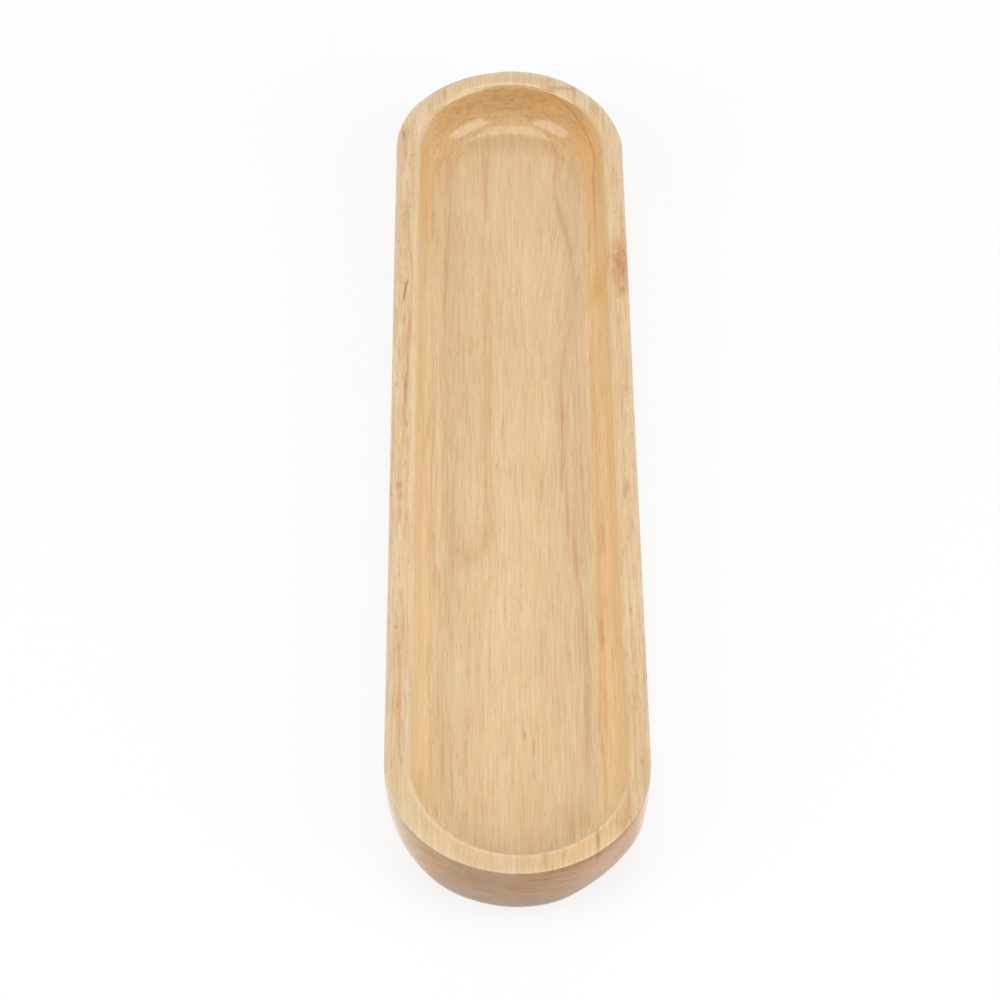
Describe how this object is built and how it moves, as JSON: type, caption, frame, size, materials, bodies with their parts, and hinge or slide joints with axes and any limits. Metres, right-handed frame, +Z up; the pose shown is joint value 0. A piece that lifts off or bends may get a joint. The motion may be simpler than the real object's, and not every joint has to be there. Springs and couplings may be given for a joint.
{
  "type": "sushi serving tray",
  "caption": "Long shallow wooden serving tray with round ends, a flat rim and a carved well for bite-sized food.",
  "frame": {"origin": "middle of the flat underside", "axes": "+Y along the tray's length, +X across its width, +Z up out of the well"},
  "size_m": [0.09, 0.39, 0.03],
  "materials": {
    "wood": "clear satin lacquer over pale straw-coloured hardwood with long fine grain"
  },
  "bodies": {
    "root": {"tray": "wood"}
  },
  "joints": []
}
